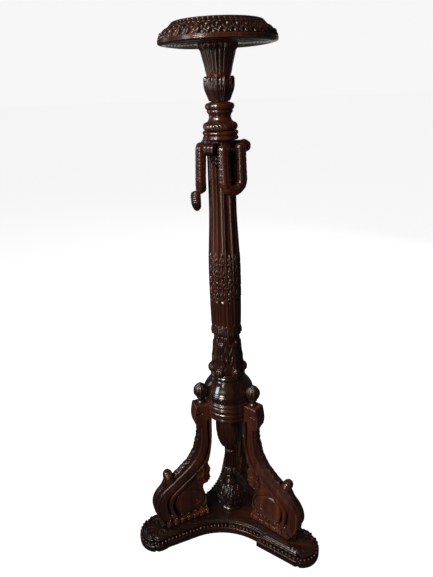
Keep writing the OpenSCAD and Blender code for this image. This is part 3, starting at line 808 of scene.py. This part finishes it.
    def urn(A, R, Z):
        lobes = np.sqrt(np.clip(1 - cell_u(A, 12) ** 2, 0, 1)) - 0.72
        leaves = leaf(cell_u(A, 12, 15), np.clip((Z - 92) / 52.0, 0, 1), 2.5, 0.3) * (Z > 92)
        return (ease(64, 74, Z) * (1 - ease(132, 143, Z)) * 6.4 * lobes * (1 - ease(100, 112,
                Z) * 0.5) + 3.6 * leaves * (Z < 146)) * (R > 20)

    mesh("plinth_urn", *lathe(
        [(8, 44.2), (45, 44.2), (47, 46.5), (46.4, 50), (42.5, 53), (41.6, 57), (44, 63), (48, 72),
         (51, 84), (52.4, 96), (51.6, 108),
         (48.4, 119), (43, 129), (37.5, 137), (32.5, 144), (30, 148.6), (29.4, 151), (31.4, 154.5),
         (30.8, 158.5), (27.4, 163), (24, 170),
         (22.5, 179.8), (8, 179.8)], urn, around=264, step=1.5), DEEP, P, ["plinth_urn"], depth=2.0)


# ---------------------------------------------------------------- legs

def arc(cx, cz, r, a0, a1, n):
    return [(cx + r * math.cos(math.radians(a0 + (a1 - a0) * i / n)),
            cz + r * math.sin(math.radians(a0 + (a1 - a0) * i / n)))
            for i in range(n + 1)]


def legs():
    half = 20.0
    head = [(66, 503), (113, 503), (115.5, 501), (118, 488), (120.5, 474), (122, 460), (121, 446),
            (118.5, 434), (113, 423),
            (110.5, 412), (110.3, 400), (112.5, 386)]
    outline = head + arc(270, 391, 154, 190, 239, 26) + [(196, 256), (200, 249), (203, 248)] + arc(219, 254,
            15.4, 165, -35, 16)
    outline += arc(193, 150, 84, 48, -25, 22) + [(268, 100), (266, 88), (262, 62), (261, 44.2), (94, 44.2),
            (93.6, 62), (95, 100),
                                                 (98, 125), (103, 145), (107, 165), (104, 180)]
    inner = arc(103, 207, 22, 230, 150, 8) + arc(101, 239, 22, 200, 112, 8)
    outline += inner + [(89, 263), (82, 282), (77, 303), (73, 326), (70, 350), (68, 375), (67, 404),
            (66.4, 436)]
    cell = 1.5
    lo = np.array([60.0, -24.0, 42.5])
    n = np.array([148, 33, 309])
    gx, gy, gz = [lo[k] + np.arange(n[k]) * cell for k in range(3)]
    X2, Z2 = np.meshgrid(gx, gz, indexing="ij")
    d2, along = polygon_field(outline, X2, Z2)

    groove = smooth_line([(78, 440), (78.5, 400), (79, 345), (97, 285), (122, 252), (152, 228), (189, 201),
            (216, 179), (228, 160),
                          (231, 140), (229, 115), (224, 92)])
    border = smooth_line([(101, 424), (102, 400), (105, 356), (113, 325), (128, 295), (145, 276),
            (165, 259), (186, 243), (205, 228),
                          (229, 211), (249, 194), (262, 172), (268, 147), (268, 120), (264, 98), (256, 78),
                          (248, 62)])
    scroll = smooth_line([(108, 272), (116, 258), (128, 240), (147, 219), (170, 199), (192, 179),
            (207, 161), (214, 142), (214, 120),
                          (209, 98), (200, 78), (190, 64)])
    arch = smooth_line([(186, 72), (202, 98), (207, 124), (204, 146), (194, 162), (178, 171), (157, 172),
            (134, 165), (116, 151),
                        (106, 133), (104, 112), (110, 92), (130, 74), (158, 66)])
    dgr, _ = curve_field(groove, X2, Z2)
    dbo, side_bo = curve_field(border, X2, Z2)
    dsc, side_sc = curve_field(scroll, X2, Z2)
    darch, _ = polygon_field(arch, X2, Z2)
    # half thickness over the side view
    h = np.full(X2.shape, half)
    between = np.clip(1 - ((dgr - dbo) / (dgr + dbo + 1e-6)) ** 2, 0, 1)
    h += 1.6 * np.sqrt(between) - 1.6
    h -= 8.0 * hill(dgr, 0, 2.8)
    # beyond the band the side slopes away to the outer edge
    out = side_bo * dbo
    beyond = ease(0, 1.8, out) * ease(424, 416, Z2)
    h -= beyond * (3.0 + 0.5 * np.clip(out, 0, 18)) + 2.0 * hill(out, -8, 1.4) * ease(424, 416, Z2)
    # deep cove under the main band, rising to a raised panel
    knob_in = np.minimum(np.hypot(X2 - 101, Z2 - 239) - 22, np.hypot(X2 - 103, Z2 - 207) - 22)
    ground = ease(-1.0, 2.0, -side_sc * dsc) * (X2 > 90) * (Z2 < 262) * (X2 < 216) * (Z2 > 62) * ease(0, 3,
            knob_in)
    floor_ = half - 13.0 + 7.0 * ease(3, 26, dsc) * ease(60, 100, Z2)
    floor_ = np.where(darch < 0, half - 7 + 4.5 * (1 - np.exp(np.minimum(darch, 0) / 16)),
            floor_) - 3.4 * hill(darch, 1.0, 1.6)
    h = h * (1 - ground) + floor_ * ground
    # small volute on the panel
    vx, vz = X2 - 133, Z2 - 120
    vr, va = np.hypot(vx, vz), np.arctan2(vz, vx)
    spiral = saw(va / (2 * math.pi) - vr / 15.0)
    h -= 3.0 * hill(spiral, 0, 0.12) * (1 - ease(14, 18, vr)) * ground
    # rolled leaf inside: lobes that fan from the roll's centre
    rx, rz = X2 - 108, Z2 - 222
    rr, ra = np.hypot(rx, rz), np.arctan2(rz, rx)
    fan = np.abs(np.sin(ra * 5.0 + rr * 0.06))
    zone = ease(2, -2, knob_in)
    h += zone * (2.6 * fan - 3.0 + 3.0 * hill(rr, 0, 8))
    # eye of the outer roll
    er = np.hypot(X2 - 219, Z2 - 254)
    ezone = ease(16.5, 14, er)
    h = h * (1 - ezone) + ezone * (half + 0.6 + 2.0 * hill(er, 0, 5) - 2.6 * hill(er, 8.5,
            1.6)) - 3.0 * hill(er, 16.2, 1.6) * (Z2 < 262)
    # raised head block with a slot
    block = ease(424, 430, Z2) * (1 - ease(498, 502, Z2))
    slot = ease(3.4, 1.8, np.abs(Z2 - 474)) * ease(10.5, 8.5, np.abs(X2 - 106))
    h += 1.1 * block - 5.5 * slot
    # leaves at the foot
    foot = leaf(2 * saw(X2 / 23.0), np.clip((Z2 - 46) / 30.0, 0, 1), 2.0, 0.4) * (Z2 < 78)
    h += 5.0 * foot * ease(262, 250, X2) - 2.6 * ease(80, 70, Z2) * ease(262, 250, X2)
    h = np.minimum(h, half + 2.6)

    X = X2[:, None, :]
    Z = Z2[:, None, :]
    Y = gy[None, :, None]
    # carving on the edge faces, along the outline
    run = along[:, None, :]
    sweep = ease(420, 400, Z) * ease(250, 262, Z) * (X > 100) * (X < 200)
    vv = np.mod(run / 46.0, 1.0)
    uu = Y / half
    acan = leaf(uu * 1.02, vv, 3.0, 0.45)
    rel = sweep * (4.6 * acan - 2.6)
    bulge = ease(232, 215, Z) * ease(70, 90, Z) * (X > 215)
    rel = rel + bulge * (0.8 - 2.0 * hill(np.abs(Y), 7.5, 1.5) - 1.4 * hill(np.abs(Y), 14, 1.2))
    roll = (er < 21)[:, None, :] * (X > 203)
    rel = rel - roll * ease(238, 254, Z) * 15.4 * (1 - np.sqrt(np.clip(1 - (Y / 22.5) ** 2, 0.02, 1)))
    rel = rel + roll * (1.2 - 1.8 * hill(np.abs(Y), 6, 1.5) - 1.6 * hill(np.abs(Y), 13, 1.3))
    knob = (knob_in < 4)[:, None, :] * (X < 104)
    rel = rel + knob * (2.6 * np.abs(np.sin(run * 0.26)) - 1.8 - 1.6 * hill(Y, 0, 1.8))
    D2 = d2[:, None, :] - rel
    S = np.abs(Y) - h[:, None, :]
    k = 2.6
    f = np.maximum(D2, S) + np.clip(k - np.abs(D2 - S), 0, None) ** 2 / (4 * k)
    f = np.maximum(f, 44.15 - Z)
    v, q, t = nets(f, lo, (cell,) * 3)
    # painted shade: darker in the grooves, the slot, the cove and on the side beyond the band, which faces
    # away from the light
    dark = 0.4 * slot + 0.21 * beyond * (1 - ezone) + 0.3 * hill(dgr, 0,
            3.4) + 0.2 * ground * (hill(darch, 1, 2.6) + hill(dsc, 2, 3))
    ix = np.clip(((v[:, 0] - lo[0]) / cell).round().astype(int), 0, n[0] - 1)
    iz = np.clip(((v[:, 2] - lo[2]) / cell).round().astype(int), 0, n[2] - 1)
    on_arms("leg_", v, q, t, 0, WARM, P, depth=2.0, stain=dark[ix, iz])

    def bud(A, R, Z):
        body = ease(527, 533, Z) * (1 - ease(566, 574, Z))
        return body * 3.0 * (np.sqrt(np.clip(1 - cell_u(A, 9) ** 2, 0, 1)) - 0.66) * (R / 20)

    z1 = node_z("leg_bud_back")[1]
    v, q, t = lathe([(6, 503.1), (12.5, 503.1), (13.4, 505.5), (12, 508.5), (8.8, 512), (8.2, 517),
            (10, 520.5), (13.4, 523), (12.6, 526),
                     (11.8, 527.6), (15, 531), (18.6, 536), (20.6, 542), (21, 547.5), (20, 553.5),
                     (17, 560), (12.6, 565.6),
                     (8.2, 569.4), (4.8, z1 - 2.4), (2.6, z1 - 0.4), (0.8, z1)], bud, 144, 1.1)
    v[:, 0] += 92
    on_arms("leg_bud_", v, q, t, 0, CARVED, D, depth=1.4)


# ---------------------------------------------------------------- plinth

def plan_field(X, Y):
    """Signed distance to the three-armed plan, drawn for one arm along +X."""
    hw, lobe_d, lobe_r, bay, step, notch, start = 58.0, 273.0, 59.96, 215.0, 13.0, 295.0, 150.0
    notch_w = math.sqrt(lobe_r ** 2 - (notch - lobe_d) ** 2)
    corner = hw / math.sin(math.radians(60))
    far = corner + bay / math.sin(math.radians(60))
    tangent = corner * 0.5 + bay / math.tan(math.radians(60))
    cx, cy = far * 0.5, far * math.sin(math.radians(60))
    web = bay - np.hypot(X - cx, np.abs(Y) - cy)
    web = np.where(X > tangent, np.abs(Y) - hw - (notch_w - hw) * (X - tangent) / (notch - tangent), web)
    arm = np.maximum(web, X - notch)
    side = -Y - (hw + step) - (notch_w + 2 - hw - step) * (X - start) / (notch - start)
    st = np.maximum(np.maximum(side, Y), np.maximum(start - X, X - notch))
    lobe = np.hypot(X - lobe_d, Y) - lobe_r
    d = np.minimum(np.minimum(arm, st), lobe)
    for sy in (-1, 1):
        v = (np.abs(X - notch) + np.abs(Y - sy * (notch_w + 1)) - 5.6) / math.sqrt(2)
        d = np.maximum(d, -v)
    return d, side


def plinth():
    top_z = 44.0
    cell = np.array([1.6, 1.6, 1.0])
    lo = np.array([-2.4, -142.0, -1.5])
    hi = np.array([336.0, 142.0, 47.0])
    n = ((hi - lo) / cell).astype(int) + 2
    gx, gy, gz = [lo[k] + np.arange(n[k]) * cell[k] for k in range(3)]
    X2, Y2 = np.meshgrid(gx, gy, indexing="ij")
    d2, side = plan_field(X2, Y2)
    sector = (np.abs(Y2) * 0.5 - X2 * math.sin(math.radians(60)))
    # edge profile: how far the outline is drawn in at each height
    prof = np.interp(gz, [0, 1.2, 3, 20, 23, 25, 25.4, 36.5, 37.2, 39, 41.5, 43, 44],
                     [1.4, 0.3, 0.0, 0.0, 0.6, 2.2, 9.8, 10.4, 9.2, 9.0, 9.6, 10.8, 12.5])
    # top surface: carved border, sunk field, rosettes
    inset = -d2
    dx, dy = X2 - 273, Y2
    lr, la = np.hypot(dx, dy), np.arctan2(dy, dx)
    relief = -1.8 * hill(inset, 16, 1.8) - 1.4 * hill(inset, 21, 1.3) + 0.6 * hill(inset, 18.5, 1.2)
    petals = leaf(2 * saw(la * 10 / (2 * math.pi)), np.clip((lr - 9) / 26.0, 0, 1), 1.6,
            0.3) * (lr > 8) * (lr < 36)
    relief = relief + (lr < 38) * (1.5 * petals - 2.2 * ease(38, 34,
            lr)) + 2.2 * np.sqrt(np.clip(1 - (lr / 9) ** 2, 0, 1)) * (lr < 9)
    relief -= 1.6 * hill(lr, 39.5, 1.5)
    steps = (Y2 < -24) * (X2 > 166) * (X2 < 284)
    for off in (15, 21, 27):
        relief -= steps * 1.2 * hill(-side, off, 1.9)
    height = top_z - 1.9 + np.clip(relief, -4, 1.9)
    f = d2[:, :, None] + prof[None, None, :]
    f = np.maximum(f, gz[None, None, :] - height[:, :, None])
    f = np.maximum(f, 0.02 - gz[None, None, :])
    f = np.maximum(f, sector[:, :, None])
    v, q, t = nets(f, lo, cell)
    on_arms("plinth_arm_", v, q, t, 0, FLAT, P, depth=1.6)
    beads(gx, gy, d2)


def contour(gx, gy, field, level):
    """Points of a field's contour on a grid, one in each cell that it crosses."""
    nx, ny = field.shape
    F = field - level
    inside = F < 0
    diff = np.zeros((nx - 1, ny - 1), int)
    for a in (0, 1):
        for b in (0, 1):
            diff += inside[a:nx - 1 + a, b:ny - 1 + b]
    cells = np.argwhere((diff > 0) & (diff < 4))
    pts = []
    for i, j in cells:
        es = []
        for (a, b), (c, d) in (((0, 0), (1, 0)), ((1, 0), (1, 1)), ((1, 1), (0, 1)), ((0, 1), (0, 0))):
            f0, f1 = F[i + a, j + b], F[i + c, j + d]
            if (f0 < 0) != (f1 < 0):
                t = f0 / (f0 - f1)
                es.append((gx[i + a] + t * (gx[i + c] - gx[i + a]), gy[j + b] + t * (gy[j + d] - gy[j + b])))
        if len(es) >= 2:
            pts.append(((es[0][0] + es[1][0]) / 2, (es[0][1] + es[1][1]) / 2))
    return np.array(pts)


def beads(gx, gy, d2):
    """Row of beads on the ledge round each arm."""
    pts = contour(gx, gy, d2, -5.6)
    keep = (np.abs(pts[:, 1]) * 0.5 - pts[:, 0] * math.sin(math.radians(60))) < -2.5
    pts = pts[keep]
    # walk round the outline
    order = [int(np.argmax(pts[:, 1] - 3 * pts[:, 0]))]
    left = np.ones(len(pts), bool)
    left[order[0]] = False
    while left.any():
        d = np.hypot(*(pts - pts[order[-1]]).T)
        d[~left] = 1e9
        k = int(np.argmin(d))
        if d[k] > 9:
            break
        left[k] = False
        order.append(k)
    line = pts[order]
    for _ in range(3):
        line[1:-1] = 0.5 * line[1:-1] + 0.25 * (line[:-2] + line[2:])
    run = np.concatenate([[0], np.cumsum(np.linalg.norm(np.diff(line, axis=0), axis=1))])
    place = lambda s: np.array([np.interp(s, run, line[:, 0]), np.interp(s, run, line[:, 1])])
    bv, bq, bt = lathe([(0.4, -5.4), (2.9, -4.7), (4.5, -2.8), (5.0, -0.3), (4.6, 2.4), (3.1, 4.4),
            (0.4, 5.3)], None, 16, 2.2)
    V, Q, T = [], [], []
    base = 0
    s = 6.0
    while s < run[-1] - 4:
        c = place(s)
        big = c[1] < -50 and 150 < c[0] < 292
        V.append(bv * (1.04 if big else 0.96) + np.array([c[0], c[1], 30.6]))
        Q.append(bq + base)
        T.append(bt + base)
        base += len(bv)
        s += 13.2 if big else 12.2
    v, q, t = np.vstack(V), np.vstack(Q), np.vstack(T)
    on_arms("bead_strip_", v, q, t, 0, CARVED, D, smoothing=4, depth=2.4)


# ---------------------------------------------------------------- CAD nodes that stay

def carried():
    for node, material in (("top_board", PLAIN), ("top_screws", STEEL), ("leg_screws", STEEL),
            ("leg_dowels", INNER), ("swag_pegs", PLAIN),
                           ("plinth_centre_block", INNER)):
        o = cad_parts[node]
        o.data.materials.clear()
        o.data.materials.append(material)


# ---------------------------------------------------------------- camera, floor and light

def stage():
    me = bpy.data.meshes.new("floor")
    s = 60.0
    me.from_pydata([(-s, -s, 0), (s, -s, 0), (s, s, 0), (-s, s, 0)], [], [(0, 1, 2, 3)])
    o = bpy.data.objects.new("floor", me)
    m = bpy.data.materials.new("pale_floor")
    m.use_nodes = True
    b = m.node_tree.nodes["Principled BSDF"]
    b.inputs["Base Color"].default_value = (0.30, 0.30, 0.30, 1)
    b.inputs["Roughness"].default_value = 1.0
    b.inputs["Specular IOR Level"].default_value = 0.0
    b.inputs["Emission Color"].default_value = (1, 1, 1, 1)
    b.inputs["Emission Strength"].default_value = 0.90
    me.materials.append(m)
    bpy.context.scene.collection.objects.link(o)
    o.visible_glossy = False
    o.visible_diffuse = False
    w = bpy.data.worlds.new("studio")
    bpy.context.scene.world = w
    w.use_nodes = True
    nt = w.node_tree
    dim = nt.nodes["Background"]
    dim.inputs["Color"].default_value = (0.90, 0.92, 1.0, 1)
    dim.inputs["Strength"].default_value = 0.04
    seen = nt.nodes.new("ShaderNodeBackground")
    seen.inputs["Color"].default_value = (0.93, 0.93, 0.93, 1)
    path = nt.nodes.new("ShaderNodeLightPath")
    pick = nt.nodes.new("ShaderNodeMixShader")
    nt.links.new(path.outputs["Is Camera Ray"], pick.inputs["Fac"])
    nt.links.new(dim.outputs["Background"], pick.inputs[1])
    nt.links.new(seen.outputs["Background"], pick.inputs[2])
    nt.links.new(pick.outputs["Shader"], nt.nodes["World Output"].inputs["Surface"])

    def area(name, pos, target, size, power, colour, glossy=True):
        la = bpy.data.lights.new(name, "AREA")
        la.shape = "RECTANGLE"
        la.size, la.size_y = size
        la.energy = power
        la.color = colour
        ob = bpy.data.objects.new(name, la)
        d = np.array(target, float) - np.array(pos, float)
        d /= np.linalg.norm(d)
        right = np.cross(d, (0, 0, 1))
        right /= np.linalg.norm(right)
        up = np.cross(right, d)
        ob.matrix_world = Matrix([(right[k], up[k], -d[k], pos[k]) for k in range(3)] + [(0, 0, 0, 1)])
        ob.visible_glossy = glossy
        bpy.context.scene.collection.objects.link(ob)

    area("window", (-1.9, -1.5, 2.1), (0, 0, 0.9), (0.6, 1.4), 40, (0.78, 0.88, 1.0))
    area("over", (-1.0, -1.9, 2.5), (0, 0, 0.5), (0.7, 0.7), 84, (1.0, 0.86, 0.70))
    area("low", (-0.9, -2.1, 0.8), (0, 0, 1.1), (0.2, 1.2), 10, (1.0, 0.90, 0.80))
    area("side", (-2.4, 0.6, 1.2), (0, 0, 0.7), (0.5, 1.4), 5, (0.80, 0.88, 1.0))
    area("rear", (0.4, 3.2, 1.15), (0, 0, 1.45), (3.0, 0.5), 2.0, (1.0, 0.90, 0.76))
    area("back", (1.3, 2.3, 2.0), (0, 0, 0.8), (0.9, 1.4), 75, (0.95, 0.97, 1.0), False)
    bpy.context.scene.view_settings.view_transform = "Standard"


def camera():
    pitch, yaw, roll, swing = 0.417786, -0.0212, -0.0394, math.radians(7.757)
    f = np.array([math.sin(yaw) * math.cos(pitch), math.cos(yaw) * math.cos(pitch), -math.sin(pitch)])
    r = np.array([math.cos(yaw), -math.sin(yaw), 0.0])
    u = np.cross(r, f)
    r2 = math.cos(roll) * r + math.sin(roll) * u
    u2 = -math.sin(roll) * r + math.cos(roll) * u
    c, s = math.cos(swing), math.sin(swing)
    R = np.array([[c, -s, 0], [s, c, 0], [0, 0, 1]])
    f, r2, u2 = R @ f, R @ r2, R @ u2
    top_edge = cad_box[1][2]
    pos = R @ np.array([0, -1.168 * top_edge / 1.52, 1.38583 * top_edge / 1.52])
    cam = bpy.data.cameras.new("camera")
    cam.sensor_width = 36.0
    cam.lens = 453.08 / 577 * 36.0
    ob = bpy.data.objects.new("camera", cam)
    ob.matrix_world = Matrix([(r2[k], u2[k], -f[k], pos[k]) for k in range(3)] + [(0, 0, 0, 1)])
    bpy.context.scene.collection.objects.link(ob)
    bpy.context.scene.camera = ob


top()
neck()
shaft()
swags()
collar_scrolls()
lower_column()
legs()
plinth()
carried()
stage()
camera()
